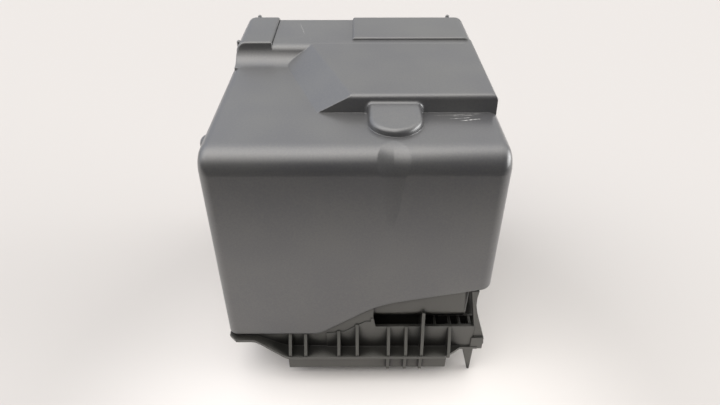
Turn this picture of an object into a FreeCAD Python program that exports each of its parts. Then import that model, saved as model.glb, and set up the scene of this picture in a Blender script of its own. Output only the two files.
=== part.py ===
import FreeCAD, Part
import os
import Sketcher

# Battery tray: a ribbed base moulding, the tall hood that covers the battery, and the base clamp
# that holds the battery down. X is to the right, Y goes away from the front, Z is up, and the origin
# is the centre of the four mounting bolts on the plane that the tray stands on.

SIZES = {
    # Hood: outside sizes at its low top face, which lies hood_top above the standing plane.
    "hood_width": 250.0,
    "hood_depth": 265.5,
    "hood_top": 272.0,
    "hood_flare": 3.2,
    "wall": 2.5,
    "front_top_radius": 19.5,
    "rear_top_radius": 12.0,
    "side_radius": 10.0,
    # Lower edge of the hood, seen from the front: low on the left, then a swoop up to the right.
    "edge_low": 62.0,
    "edge_rise_x": -36.9,
    "edge_knee_x": 21.9,
    "edge_knee_z": 103.7,
    "edge_high": 126.8,
    "edge_rise_radius": 15.0,
    "edge_knee_radius": 100.0,
    # Raised deck on the hood, with a slanting ramp on its left and a step across its front.
    "deck_height": 15.5,
    "deck_setback": 68.0,
    "deck_lean": 2.0,
    "deck_side_inset": 2.6,
    "deck_rear": 200.0,
    "deck_sink": 12.0,
    "deck_edge_radius": 5.0,
    "ramp_foot_x": -33.0,
    "ramp_run": 29.5,
    "ramp_turn": 20.3,
    # Strip along the rear of the hood, with a cove at its foot and a raised pad at each end.
    "strip_height": 15.9,
    "cove_setback": 161.9,
    "cove_radius": 21.0,
    "left_pad_height": 18.9,
    "left_pad_width": 36.5,
    "right_pad_height": 18.6,
    "right_pad_left": -3.0,
    "right_pad_setback": 195.0,
    "pad_radius": 10.0,
    "pad_edge_radius": 2.6,
    "strip_side_inset": 3.2,
    # Round-fronted boss against the step, the flute below it and the bead on the left side.
    "boss_centre": 33.75,
    "boss_radius": 23.2,
    "boss_reach": 27.0,
    "boss_rear_height": 9.6,
    "boss_slope": 5.0,
    "boss_edge_radius": 4.5,
    "boss_root_radius": 3.5,
    "flute_centre": 30.5,
    "flute_radius": 50.0,
    "flute_depth": 0.55,
    "flute_swell": 2.7,
    "flute_tilt": 1.9,
    "flute_length": 80.0,
    "bead_radius": 8.0,
    "bead_setback": 41.0,
    "bead_reach": 5.2,
    "bead_drop": 14.0,
    "bead_length": 55.0,
    # Small catch pins that stand up at the rear edge and out of the left side.
    "pin_radius": 2.3,
    "pin_rise": 0.9,
    "pin_setback": 2.9,
    "pin_left_x": -108.5,
    "pin_right_x": 104.5,
    "pin_side_setback": 196.0,
    "pin_root": 7.0,
    "pin_side_root": 8.0,
    # Lap of the tray wall inside the hood, and the gap left between the two mouldings.
    "lap": 15.0,
    "fit_gap": 0.8,
    "seam_gap": 1.2,
    # Basin of the tray.
    "shelf_reach": 14.7,
    "basin_radius": 10.0,
    "flush_step": 0.8,
    # Gutter behind the front panel.
    "gutter_back": 11.5,
    "gutter_bend_high": 88.0,
    "gutter_bend_low": 70.0,
    "gutter_lean": 3.0,
    "gutter_radius": 9.0,
    # Flange, front panel, skirt and ribs.
    "flange_bottom": 37.0,
    "flange_thickness": 3.0,
    "flange_front": 15.75,
    "flange_side": 128.0,
    "flange_rear": 2.75,
    "flange_corner": 7.0,
    "ear_reach": 7.3,
    "ear_width": 26.0,
    "ear_rise": 17.0,
    "ear_run": 30.0,
    "ear_bend_radius": 30.0,
    "corner_setback": 17.0,
    "panel_thickness": 2.5,
    "panel_proud": 0.8,
    "panel_left": -30.0,
    "panel_bend": -12.0,
    "panel_right": 118.0,
    "panel_top": 71.0,
    "hook_left": 9.0,
    "hook_width": 8.0,
    "hook_rise": 7.5,
    "hook_tip_width": 2.5,
    "hook_tip_rise": 12.5,
    "rib_thickness": 3.0,
    "rib_root": 3.0,
    "rib_setback": 1.2,
    "rib_proud": 0.4,
    "tall_rib_rise": 20.0,
    "rung_thickness": 2.4,
    "rung_height": 14.0,
    "rail_left": 84.0,
    "rail_height": 12.0,
    "skirt_left": -70.0,
    "skirt_right": 93.0,
    "skirt_bottom": 14.0,
    "skirt_reach": 9.0,
    "skirt_rib_proud": 3.0,
    # Flared bracket at the front right corner, its lug and the locating peg below the flange.
    "bracket_thickness": 6.0,
    "bracket_foot_left": 118.6,
    "bracket_foot_right": 131.0,
    "bracket_waist_right": 124.2,
    "bracket_neck_right": 115.2,
    "bracket_neck_height": 106.0,
    "bracket_top_left": 109.2,
    "bracket_top_right": 116.4,
    "bracket_drop": 5.8,
    "lug_left": 117.2,
    "lug_width": 12.3,
    "lug_depth": 14.0,
    "lug_front": 2.0,
    "lug_rise": 14.0,
    "peg_right": 121.0,
    "peg_width": 11.5,
    "peg_tip_width": 2.6,
    "peg_depth": 7.0,
    "peg_low": 2.5,
    "peg_edge_radius": 1.0,
    "shelf_rib_setback": 26.75,
    "shelf_rib_pitch": 105.0,
    # Foot of the tray and its four bolt holes.
    "foot_left": -57.0,
    "foot_right": 93.0,
    "foot_setback": 14.75,
    "foot_rib": 2.2,
    "foot_corner_radius": 6.0,
    "drain_radius": 4.0,
    "drain_inset": 30.0,
    "bolt_spacing_x": 80.0,
    "bolt_setback": 52.75,
    "mount_boss_radius": 15.0,
    "mount_recess_radius": 12.0,
    "mount_seat_height": 8.0,
    "sleeve_radius": 6.0,
    "sleeve_bore": 4.5,
    "sleeve_gap": 0.1,
    # Battery space and its rubber mat.
    "battery_length": 207.0,
    "battery_x": -7.0,
    "battery_setback": 7.4,
    "battery_rear_room": 69.784,
    "battery_ledge": 10.5,
    "battery_gap": 0.5,
    "mat_thickness": 2.2,
    "mat_corner_radius": 5.0,
    "guide_height": 34.0,
    "guide_inset": 30.0,
    "lip_left": 15.0,
    "lip_width": 60.0,
    # Base clamp at the rear of the battery.
    "clamp_width": 54.0,
    "clamp_depth": 26.0,
    "clamp_nose": 7.0,
    "clamp_height": 10.0,
    "clamp_bolt_setback": 15.0,
    "clamp_seat_rise": 3.0,
    "clamp_bevel": 4.0,
    "nut_seat": 32.0,
    "bolt_radius": 4.0,
    "bolt_length": 34.0,
    "bolt_gap": 0.3,
    "head_height": 8.0,
    "collar_height": 1.6,
    "collar_rim": 1.5,
    "nut_radius": 7.5,
    "nut_height": 6.5,
    "clamp_boss_radius": 14.0,
    # Cable notch in the rear wall.
    "notch_left": 62.0,
    "notch_width": 34.0,
    "notch_rise": 22.0,
    "notch_drop": 4.0,
}

DOC = FreeCAD.newDocument("BatteryTray")
SHEET = DOC.addObject("Spreadsheet::Sheet", "Sizes")

# Heights and places that several sub-parts share, written once as expressions on the sheet.
HALF_WIDTH = "Sizes.hood_width / 2"
FRONT = "-Sizes.hood_depth / 2"
REAR = "Sizes.hood_depth / 2"
TOP = "Sizes.hood_top"
FLARE_ANGLE = "atan(Sizes.hood_flare / (Sizes.hood_top - Sizes.edge_low))"
FLARE_HIGH = (
    "Sizes.hood_flare * (Sizes.hood_top - Sizes.edge_high - Sizes.lap)"
    " / (Sizes.hood_top - Sizes.edge_low)"
)
RIM_HALF_X = f"({HALF_WIDTH} + {FLARE_HIGH} - Sizes.wall - Sizes.fit_gap)"
RIM_HALF_Y = f"({REAR} + {FLARE_HIGH} - Sizes.wall - Sizes.fit_gap)"
BASIN_RIGHT = f"({RIM_HALF_X} - Sizes.shelf_reach)"
FACE = f"({FRONT} - {FLARE_HIGH} + Sizes.flush_step)"
FLANGE_TOP = "(Sizes.flange_bottom + Sizes.flange_thickness)"
SEAT = f"({FLANGE_TOP} + Sizes.mat_thickness)"
SHELF_TOP = "(Sizes.edge_high - Sizes.seam_gap)"
NOTCH_SILL = f"({SHELF_TOP} - Sizes.notch_drop)"
GUTTER_FACE = f"({FACE} + Sizes.gutter_lean + Sizes.gutter_back)"
HOOK_RIGHT = "(Sizes.hook_left + Sizes.hook_width)"
BATTERY_FRONT = f"({GUTTER_FACE} + Sizes.battery_setback)"
BATTERY_REAR = f"({REAR} - Sizes.battery_rear_room)"
CLAMP_Y = f"({BATTERY_REAR} + Sizes.clamp_bolt_setback)"
CLAMP_SEAT = f"({SEAT} + Sizes.clamp_seat_rise)"
CLAMP_TOP = f"({SEAT} + Sizes.battery_ledge + Sizes.battery_gap + Sizes.clamp_height)"
CLAMP_BORE = "(Sizes.bolt_radius + Sizes.bolt_gap)"
BRACKET_TOP = "(Sizes.edge_high - Sizes.bracket_drop)"
LEDGE_TOP = f"({SEAT} + Sizes.battery_ledge + Sizes.battery_gap)"
BOLT_PLACES = [
    (f"{x_sign}Sizes.bolt_spacing_x / 2", f"{y_sign}({REAR} - Sizes.bolt_setback)")
    for x_sign in ("-", "")
    for y_sign in ("-", "")
]
WELL_OUTSIDE = "300"
BREAK = "1"
CELL_COUNT_ACROSS = 5
CELL_COUNT_ALONG = 8
SHELF_RIB_COUNT = 3
LEFT_RIBS = (-66.5, -51.0)
PANEL_RIBS = ((-17.5, -6.5), (1.0, 3.5), (32.5, 0.0), (50.0, 0.0))
TALL_RIB = 66.0
END_RIB = 93.5
RUNGS = (79.0, 103.5, 114.0)
SKIRT_RIBS = (32.5, 50.0, 66.0)


def fill_sheet():
    """Write each driving size to the sheet, beside its name."""
    for row, (name, size) in enumerate(SIZES.items(), start=1):
        SHEET.set(f"A{row}", name)
        SHEET.set(f"B{row}", str(size))
        SHEET.setAlias(f"B{row}", name)
    DOC.recompute()


def value(expression):
    """Return the number that an expression on the sheet has now."""
    return float(SHEET.evalExpression(str(expression)))


def place(item, x, y, z):
    """Bind the item's base point to three expressions."""
    for axis, expression in zip("xyz", (x, y, z)):
        item.setExpression(f"Placement.Base.{axis}", str(expression))


def turn(item, axis, angle):
    """Turn the item about an axis through its base point, by an angle on the sheet."""
    item.Placement.Rotation = FreeCAD.Rotation(FreeCAD.Vector(*axis), 1.0)
    item.setExpression("Placement.Rotation.Angle", f"({angle}) * 1 deg")


def block(name, x_range, y_range, z_range):
    """Make a rectangular block between pairs of expressions."""
    item = DOC.addObject("Part::Box", name)
    for side, (low, high) in zip(("Length", "Width", "Height"), (x_range, y_range, z_range)):
        item.setExpression(side, f"({high}) - ({low})")
    place(item, x_range[0], y_range[0], z_range[0])
    return item


def rod(name, x, y, z_range, radius):
    """Make an upright cylinder."""
    item = DOC.addObject("Part::Cylinder", name)
    item.setExpression("Radius", radius)
    item.setExpression("Height", f"({z_range[1]}) - ({z_range[0]})")
    place(item, x, y, z_range[0])
    return item


def ball(name, x, y, z, radius):
    """Make a sphere about a centre."""
    item = DOC.addObject("Part::Sphere", name)
    item.setExpression("Radius", radius)
    place(item, x, y, z)
    return item


def fuse(name, items):
    """Join several solids into one."""
    item = DOC.addObject("Part::MultiFuse", name)
    item.Shapes = items
    return item


def cut(name, base, tool):
    """Take one solid away from another."""
    item = DOC.addObject("Part::Cut", name)
    item.Base = base
    item.Tool = tool
    return item


def common(name, items):
    """Keep what several solids share."""
    item = DOC.addObject("Part::MultiCommon", name)
    item.Shapes = items
    return item


def outline(body, name, plane, offset, points):
    """Draw a closed straight-sided outline on an origin plane, each corner tied to the sheet."""
    sketch = body.newObject("Sketcher::SketchObject", name)
    support = [item for item in body.Origin.OriginFeatures if item.Role == plane][0]
    sketch.AttachmentSupport = [(support, "")]
    sketch.MapMode = "FlatFace"
    sketch.setExpression("AttachmentOffset.Base.z", offset)
    corners = [FreeCAD.Vector(value(x), value(y), 0) for x, y in points]
    for start, end in zip(corners, corners[1:] + corners[:1]):
        sketch.addGeometry(Part.LineSegment(start, end), False)
    for index in range(len(points)):
        following = (index + 1) % len(points)
        sketch.addConstraint(Sketcher.Constraint("Coincident", index, 2, following, 1))
    for index, (corner, point) in enumerate(zip(corners, points)):
        for kind, distance, expression in zip(("DistanceX", "DistanceY"), corner, point):
            number = sketch.addConstraint(Sketcher.Constraint(kind, -1, 1, index, 1, distance))
            sketch.setExpression(f"Constraints[{number}]", str(expression))
    return sketch


def prism(name, plane, low, high, points):
    """Make a body that is one outline padded between two distances from its origin plane.

    On XZ_Plane the distances are measured along -Y, because that plane faces the front.
    """
    body = DOC.addObject("PartDesign::Body", name)
    sketch = outline(body, f"{name}_outline", plane, low, points)
    pad = body.newObject("PartDesign::Pad", f"{name}_pad")
    pad.Profile = sketch
    pad.setExpression("Length", f"({high}) - ({low})")
    return body


def drafted(name, body, angle):
    """Lean the upright faces of the body's last feature outwards, down from its top face."""
    DOC.recompute()
    base = body.Tip
    faces = list(enumerate(base.Shape.Faces, 1))
    sides = [f"Face{number}" for number, face in faces if abs(face.normalAt(0, 0).z) < 0.5]
    top = [f"Face{number}" for number, face in faces if face.normalAt(0, 0).z > 0.5]
    draft = body.newObject("PartDesign::Draft", name)
    draft.Base = (base, sides)
    draft.NeutralPlane = (base, top)
    draft.setExpression("Angle", angle)
    return body


def rounded(name, body, radius, picks):
    """Round the edges of the body's last feature that the test picks."""
    DOC.recompute()
    base = body.Tip
    names = [f"Edge{number}" for number, edge in enumerate(base.Shape.Edges, 1) if picks(edge)]
    fillet = body.newObject("PartDesign::Fillet", name)
    fillet.Base = (base, names)
    fillet.setExpression("Radius", radius)
    return body


def wrapped(name, item):
    """Give a solid a body of its own, so that its edges can be rounded."""
    DOC.recompute()
    body = DOC.addObject("PartDesign::Body", name)
    body.BaseFeature = item
    DOC.recompute()
    return body


def rectangle(x_range, y_range):
    """Return the four corners of a rectangle, anticlockwise."""
    return [
        (x_range[0], y_range[0]),
        (x_range[1], y_range[0]),
        (x_range[1], y_range[1]),
        (x_range[0], y_range[1]),
    ]


def upright(edge):
    """Tell whether an edge climbs more than it runs sideways."""
    box = edge.BoundBox
    return box.ZLength > 3 * max(box.XLength, box.YLength)


def edge_outline(raise_by):
    """Return the hood's lower edge as an outline of everything below it, in X and Z.

    It starts on the left, climbs along the swoop and ends level on the right.
    """
    right = f"({HALF_WIDTH} + Sizes.hood_flare)"
    return [
        (f"-{WELL_OUTSIDE}", f"-{WELL_OUTSIDE}"),
        (WELL_OUTSIDE, f"-{WELL_OUTSIDE}"),
        (WELL_OUTSIDE, f"Sizes.edge_high + ({raise_by})"),
        (right, f"Sizes.edge_high + ({raise_by})"),
        ("Sizes.edge_knee_x", f"Sizes.edge_knee_z + ({raise_by})"),
        ("Sizes.edge_rise_x", f"Sizes.edge_low + ({raise_by})"),
        (f"-{WELL_OUTSIDE}", f"Sizes.edge_low + ({raise_by})"),
    ]


def below_edge(name, raise_by):
    """Make a slab that fills everything below the hood's lower edge, raised by a distance."""
    body = prism(name, "XZ_Plane", f"-{WELL_OUTSIDE}", WELL_OUTSIDE, edge_outline(raise_by))

    def along_y_at(x):
        return lambda edge: edge.BoundBox.YLength > 1 and abs(edge.CenterOfMass.x - value(x)) < 0.5

    rounded(f"{name}_rise", body, "Sizes.edge_rise_radius", along_y_at("Sizes.edge_rise_x"))
    rounded(f"{name}_knee", body, "Sizes.edge_knee_radius", along_y_at("Sizes.edge_knee_x"))
    return body


def hood_block(name, inset):
    """Make the hood's main block, with its flare and rounded shoulders, inset on all sides."""
    foot = "(Sizes.edge_low - 2 * Sizes.wall)"
    plan = rectangle(
        (f"-({HALF_WIDTH} - {inset})", f"{HALF_WIDTH} - {inset}"),
        (f"{FRONT} + {inset}", f"{REAR} - {inset}"),
    )
    body = prism(name, "XY_Plane", foot, f"{TOP} - {inset}", plan)
    drafted(f"{name}_draft", body, FLARE_ANGLE)

    def across_top(y):
        return lambda edge: (
            edge.BoundBox.XLength > value(HALF_WIDTH)
            and edge.CenterOfMass.z > value(TOP) - value("Sizes.front_top_radius")
            and edge.CenterOfMass.y * y > 0
        )

    def along_sides(edge):
        box = edge.BoundBox
        outermost = min(abs(box.XMin), abs(box.XMax)) > value(HALF_WIDTH) - value("Sizes.wall") - 1
        return outermost and box.ZMax > value(foot) + 1

    rounded(f"{name}_front_top", body, f"Sizes.front_top_radius - {inset}", across_top(-1))
    rounded(f"{name}_rear_top", body, f"Sizes.rear_top_radius - {inset}", across_top(1))
    rounded(f"{name}_sides", body, f"Sizes.side_radius - {inset}", along_sides)
    return body


def hood_deck(name, inset):
    """Make the raised deck with its ramp on the left and its step across the front."""
    low = f"(-Sizes.deck_sink - {inset})"
    high = f"(Sizes.deck_height - {inset})"
    slope = "(Sizes.ramp_run / Sizes.deck_height)"
    ramp = prism(
        f"{name}_ramp",
        "XZ_Plane",
        f"-{WELL_OUTSIDE}",
        WELL_OUTSIDE,
        [
            (f"({low} + {inset}) * {slope}", low),
            (WELL_OUTSIDE, low),
            (WELL_OUTSIDE, high),
            (f"({high} + {inset}) * {slope}", high),
        ],
    )
    turn(ramp, (0, 0, 1), "Sizes.ramp_turn")
    place(ramp, "Sizes.ramp_foot_x", f"{FRONT} + Sizes.deck_setback", TOP)
    lean = "(Sizes.deck_lean / Sizes.deck_height)"
    foot = f"({FRONT} + Sizes.deck_setback + {inset})"
    rear = f"({FRONT} + Sizes.deck_rear)"
    step = prism(
        f"{name}_step",
        "YZ_Plane",
        f"-{WELL_OUTSIDE}",
        f"{HALF_WIDTH} - Sizes.deck_side_inset - {inset}",
        [
            (f"{foot} + {low} * {lean}", f"{TOP} + {low}"),
            (rear, f"{TOP} + {low}"),
            (rear, f"{TOP} + {high}"),
            (f"{foot} + {high} * {lean}", f"{TOP} + {high}"),
        ],
    )
    body = wrapped(name, common(f"{name}_raw", [ramp, step]))

    def top_edge(edge):
        on_top = edge.BoundBox.ZMin > value(TOP) + value(high) - 0.1
        return on_top and edge.BoundBox.YMin < value(rear) - 1

    return rounded(f"{name}_edges", body, f"Sizes.deck_edge_radius - {inset}", top_edge)


def hood_strip(name, inset):
    """Make the strip along the rear of the hood, the cove at its foot and the two raised pads."""
    low = f"({TOP} - Sizes.deck_sink)"
    foot = f"({FRONT} + Sizes.cove_setback)"
    rear = f"({REAR} - {inset})"
    side = f"({HALF_WIDTH} - Sizes.strip_side_inset - {inset})"
    cove = DOC.addObject("Part::Cylinder", f"{name}_cove")
    cove.setExpression("Radius", f"Sizes.cove_radius + {inset}")
    cove.setExpression("Height", f"2 * {WELL_OUTSIDE}")
    cove.Placement.Rotation = FreeCAD.Rotation(FreeCAD.Vector(0, 1, 0), 90)
    place(cove, f"-{WELL_OUTSIDE}", foot, f"{TOP} + Sizes.cove_radius")
    pieces = []
    left_end = f"-{side} + Sizes.left_pad_width - {inset}"
    for part, right_end, height in (
        ("strip", side, "Sizes.strip_height"),
        ("left_pad", left_end, "Sizes.left_pad_height"),
    ):
        heights = (low, f"{TOP} + {height} - {inset}")
        full = block(f"{name}_{part}_full", (f"-{side}", right_end), (foot, rear), heights)
        pieces.append(wrapped(f"{name}_{part}", cut(f"{name}_{part}_coved", full, cove)))
    right_pad = prism(
        f"{name}_right_pad",
        "XY_Plane",
        low,
        f"{TOP} + Sizes.right_pad_height - {inset}",
        rectangle(
            (f"Sizes.right_pad_left + {inset}", side),
            (f"{FRONT} + Sizes.right_pad_setback + {inset}", rear),
        ),
    )
    pieces.append(right_pad)
    DOC.recompute()
    for piece in pieces:
        top = piece.Tip.Shape.BoundBox.ZMax

        def outer_edge(edge, top=top):
            box = edge.BoundBox
            ends = min(abs(box.XMin), abs(box.XMax)) > value(side) - 1
            along_rear = box.YMin > value(rear) - 1
            corner = upright(edge) and ends and along_rear
            return corner or (box.ZMin > top - 0.1 and (ends or along_rear))

        def inner_edge(edge, top=top):
            return edge.BoundBox.ZMin > top - 0.1 and not outer_edge(edge, top)

        rounded(f"{piece.Name}_round", piece, f"Sizes.pad_radius - {inset}", outer_edge)
        if inset == "0" and piece is not pieces[0]:
            rounded(f"{piece.Name}_soft", piece, "Sizes.pad_edge_radius", inner_edge)
    return pieces


def hood_boss(name, inset):
    """Make the round-fronted boss against the step, with its top sloping down to the front."""
    tip = f"({FRONT} + Sizes.boss_reach + {inset})"
    radius = f"(Sizes.boss_radius - {inset})"
    centre_y = f"({tip} + {radius})"
    back = f"({FRONT} + Sizes.deck_setback + Sizes.deck_lean + Sizes.wall)"
    low = f"({TOP} - Sizes.deck_sink)"
    high = f"({TOP} + Sizes.deck_height)"
    nose = rod(f"{name}_nose", "Sizes.boss_centre", centre_y, (low, high), radius)
    stem = block(
        f"{name}_stem",
        (f"Sizes.boss_centre - {radius}", f"Sizes.boss_centre + {radius}"),
        (centre_y, back),
        (low, high),
    )
    crest = f"({TOP} + Sizes.boss_rear_height - {inset})"
    drop = "(Sizes.deck_setback * tan(Sizes.boss_slope))"
    lid = prism(
        f"{name}_lid",
        "YZ_Plane",
        f"-{WELL_OUTSIDE}",
        WELL_OUTSIDE,
        [
            (f"{back} - Sizes.deck_setback", f"{crest} - {drop}"),
            (f"{back} + Sizes.deck_setback", f"{crest} + {drop}"),
            (f"{back} + Sizes.deck_setback", f"{TOP} + Sizes.deck_setback"),
            (f"{back} - Sizes.deck_setback", f"{TOP} + Sizes.deck_setback"),
        ],
    )
    raw = cut(f"{name}_raw", fuse(f"{name}_plan", [nose, stem]), lid)
    body = wrapped(name, raw)

    def top_edge(edge):
        top_face_only = edge.BoundBox.ZMin > value(TOP) and not upright(edge)
        return top_face_only and edge.BoundBox.YMin < value(back) - 0.1

    return rounded(f"{name}_edge", body, f"Sizes.boss_edge_radius - {inset} / 2", top_edge)


def flute(name, grow):
    """Make the tool for the shallow flute: part of a ring over the shoulder, then a straight shaft.

    The shaft leaves the ring where the two run the same way, and comes out of the face lower down.
    """
    radius = f"(Sizes.flute_radius + {grow})"
    bend = "(Sizes.front_top_radius + Sizes.flute_swell)"
    axis_y = f"({FRONT} + Sizes.flute_depth + {bend})"
    axis_z = f"({TOP} - {bend})"
    ring_radius = f"({bend} + Sizes.flute_radius)"
    ring = DOC.addObject("Part::Torus", f"{name}_ring")
    ring.setExpression("Radius1", ring_radius)
    ring.setExpression("Radius2", radius)
    ring.Placement.Rotation = FreeCAD.Rotation(FreeCAD.Vector(0, 1, 0), 90)
    place(ring, "Sizes.flute_centre", axis_y, axis_z)
    across = (f"-{WELL_OUTSIDE}", WELL_OUTSIDE)
    quarter = block(f"{name}_quarter", across, (f"-{WELL_OUTSIDE}", axis_y), (axis_z, f"2 * {TOP}"))
    behind = (axis_y, f"{axis_y} + {WELL_OUTSIDE}")
    above = (axis_z, f"{axis_z} + {WELL_OUTSIDE}")
    sector = block(f"{name}_sector", across, behind, above)
    turn(sector, (1, 0, 0), "90 - Sizes.flute_tilt")
    shaft = DOC.addObject("Part::Cylinder", f"{name}_shaft")
    shaft.setExpression("Radius", radius)
    shaft.setExpression("Height", "Sizes.flute_length")
    turn(shaft, (1, 0, 0), "180 - Sizes.flute_tilt")
    place(
        shaft,
        "Sizes.flute_centre",
        f"{axis_y} - {ring_radius} * cos(Sizes.flute_tilt)",
        f"{axis_z} + {ring_radius} * sin(Sizes.flute_tilt)",
    )
    return fuse(name, [common(f"{name}_over", [ring, quarter, sector]), shaft])


def side_bead(name, inset):
    """Make the half-round bead on the left side, with a domed top and bottom."""
    radius = f"(Sizes.bead_radius - {inset})"
    x = f"(-{HALF_WIDTH} - Sizes.bead_reach + Sizes.bead_radius)"
    y = f"({FRONT} + Sizes.bead_setback)"
    high = f"({TOP} - Sizes.bead_drop)"
    low = f"({high} - Sizes.bead_length)"
    return [
        rod(f"{name}_shaft", x, y, (low, high), radius),
        ball(f"{name}_crown", x, y, high, radius),
        ball(f"{name}_tail", x, y, low, radius),
    ]


def hood_volume(name, inset):
    """Join the hood's block, deck, strip, pads, boss and bead, all inset by one distance."""
    block_body = hood_block(f"{name}_block", inset)
    deck = hood_deck(f"{name}_deck", inset)
    strip = hood_strip(f"{name}_rear", inset)
    boss = hood_boss(f"{name}_boss", inset)
    bead = side_bead(f"{name}_bead", inset)
    return fuse(name, [block_body, deck, *strip, boss, *bead])


def rooted(name, item):
    """Round the inner corner where the boss meets the step."""
    body = wrapped(name, item)
    step = f"({FRONT} + Sizes.deck_setback)"

    def along_root(edge):
        box = edge.BoundBox
        beside = max(value("Sizes.boss_centre") - box.XMin, box.XMax - value("Sizes.boss_centre"))
        at_step = box.YMin > value(step) - 1 and box.YMax < value(f"{step} + Sizes.deck_lean") + 1
        return at_step and beside < value("Sizes.boss_radius") + 1 and box.ZMin > value(TOP) - 0.1

    return rounded(f"{name}_root", body, "Sizes.boss_root_radius", along_root)


def catch_pins():
    """Make the small pins at the rear edge and the left side of the hood."""
    radius = "Sizes.pin_radius"
    rear = f"({REAR} - Sizes.pin_setback)"
    crown = f"({TOP} + Sizes.left_pad_height + Sizes.pin_rise - {radius})"
    places = []
    for side in ("left", "right"):
        root = f"{TOP} + Sizes.{side}_pad_height - Sizes.pin_root"
        places.append((f"pin_{side}", f"Sizes.pin_{side}_x", rear, root, crown))
    x = f"(-{HALF_WIDTH} + Sizes.strip_side_inset + {radius} / 4)"
    y = f"({FRONT} + Sizes.pin_side_setback)"
    root = f"{TOP} - Sizes.pin_side_root"
    places.append(("pin_side", x, y, root, f"{TOP} + Sizes.strip_height - {radius}"))
    pins = []
    for name, x, y, low, high in places:
        pins.append(rod(name, x, y, (low, high), radius))
        pins.append(ball(f"{name}_tip", x, y, high, radius))
    return pins


def cable_notch(name, grow, low):
    """Make the tool for the cable notch in the rear walls, wider by a distance each side."""
    return block(
        name,
        (f"Sizes.notch_left - {grow}", f"Sizes.notch_left + Sizes.notch_width + {grow}"),
        (f"{REAR} - Sizes.shelf_reach", f"{REAR} + Sizes.shelf_reach"),
        (low, f"Sizes.edge_high + Sizes.notch_rise + {grow}"),
    )


def make_cover():
    """Make the hood as one moulding of even wall."""
    outside = rooted("outside_soft", hood_volume("outside", "0"))
    inside = hood_volume("inside", "Sizes.wall")
    fluted = cut("fluted", outside, flute("flute_outside", "0"))
    cavity = cut("hood_cavity", inside, flute("flute_inside", "Sizes.wall"))
    shell = cut("shell", fluted, cavity)
    pinned = fuse("pinned", [shell, fuse("pins", catch_pins())])
    trimmed = cut("trimmed", pinned, below_edge("hood_edge", "0"))
    return cut("cover", trimmed, cable_notch("cover_notch", "0", "Sizes.edge_low"))


def front_slope(name, inset, left, low):
    """Make the space in front of the leaning gutter wall, moved back by a distance."""
    face = f"({FACE} + {inset})"
    points = [
        (f"-{WELL_OUTSIDE}", low),
        (f"{GUTTER_FACE} + {inset}", low),
        (f"{GUTTER_FACE} + {inset}", f"Sizes.gutter_bend_low + {inset}"),
        (f"{face} + Sizes.gutter_lean", f"Sizes.gutter_bend_high + {inset}"),
        (face, "Sizes.edge_high"),
        (f"-{WELL_OUTSIDE}", "Sizes.edge_high"),
    ]
    body = prism(name, "YZ_Plane", left, WELL_OUTSIDE, points)

    bends = (value(f"Sizes.gutter_bend_low + {inset}"), value(f"Sizes.gutter_bend_high + {inset}"))

    def bend(edge):
        return edge.BoundBox.XLength > 1 and min(abs(edge.CenterOfMass.z - z) for z in bends) < 0.5

    return rounded(f"{name}_bends", body, "Sizes.gutter_radius", bend)


def rounded_tub(name, x_range, y_range, z_range, radius):
    """Make a block whose four upright edges are rounded."""
    body = prism(name, "XY_Plane", z_range[0], z_range[1], rectangle(x_range, y_range))
    return rounded(f"{name}_corners", body, radius, upright)


def swoop(name, low, high, rear):
    """Make a slab that follows the flange across the front: raised at the left ear, then down.

    Its lower and upper faces lie at two distances above the flange's underside.
    """
    ear, foot = "(Sizes.skirt_left - Sizes.ear_run)", "Sizes.skirt_left"
    base = "Sizes.flange_bottom"
    points = []
    for x, rise in ((f"-{WELL_OUTSIDE}", "Sizes.ear_rise"), (ear, "Sizes.ear_rise"), (foot, "0")):
        points.append((x, f"{base} + {rise} + ({low})"))
    points.append((WELL_OUTSIDE, f"{base} + ({low})"))
    points.append((WELL_OUTSIDE, f"{base} + ({high})"))
    for x, rise in ((foot, "0"), (ear, "Sizes.ear_rise"), (f"-{WELL_OUTSIDE}", "Sizes.ear_rise")):
        points.append((x, f"{base} + {rise} + ({high})"))
    body = prism(name, "XZ_Plane", f"-({rear})", WELL_OUTSIDE, points)

    def bend(edge):
        return edge.BoundBox.YLength > 1 and abs(edge.CenterOfMass.x) < value(HALF_WIDTH)

    return rounded(f"{name}_bends", body, "Sizes.ear_bend_radius", bend)


def flange():
    """Make the flange: a straight front that sweeps back and up to an ear at the left corner."""
    front = f"({FRONT} - Sizes.flange_front)"
    ear = f"({FRONT} - Sizes.ear_reach)"
    corner = "Sizes.flange_corner"
    left, right = "-Sizes.flange_side", "Sizes.flange_side"
    rear = f"{REAR} + Sizes.flange_rear"
    sweep = f"({left} + Sizes.ear_width)"
    shoulder = f"({ear} + {corner} / 2)"
    plan = [
        (left, f"{ear} + {corner}"),
        (f"{left} + {corner}", ear),
        (sweep, ear),
        (f"{sweep} + Sizes.ear_run / 2", f"({ear} + {front}) / 2"),
        ("Sizes.skirt_left", front),
        (f"Sizes.skirt_right - {corner} / 2", front),
        (f"Sizes.skirt_right + {corner}", f"{front} + {corner}"),
        (f"Sizes.skirt_right + 2 * {corner}", shoulder),
        (f"{right} - {corner} / 2", shoulder),
        (right, f"{shoulder} + {corner}"),
        (right, rear),
        (left, rear),
    ]
    sheet = prism("flange_plan", "XY_Plane", "0", TOP, plan)
    bent = swoop("flange_swoop", "0", "Sizes.flange_thickness", WELL_OUTSIDE)
    return common("flange", [sheet, bent])


def corner_recess(name, grow):
    """Make the space below the ear at the front left corner, grown by a distance."""
    deep = f"-{WELL_OUTSIDE}"
    rear = f"{FACE} + Sizes.corner_setback + {grow}"
    below = swoop(f"{name}_swoop", deep, grow, rear)
    side = block(
        f"{name}_side",
        (f"-{WELL_OUTSIDE}", f"Sizes.skirt_left + {grow}"),
        (f"-{WELL_OUTSIDE}", rear),
        (f"-{WELL_OUTSIDE}", TOP),
    )
    return common(name, [below, side])


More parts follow.
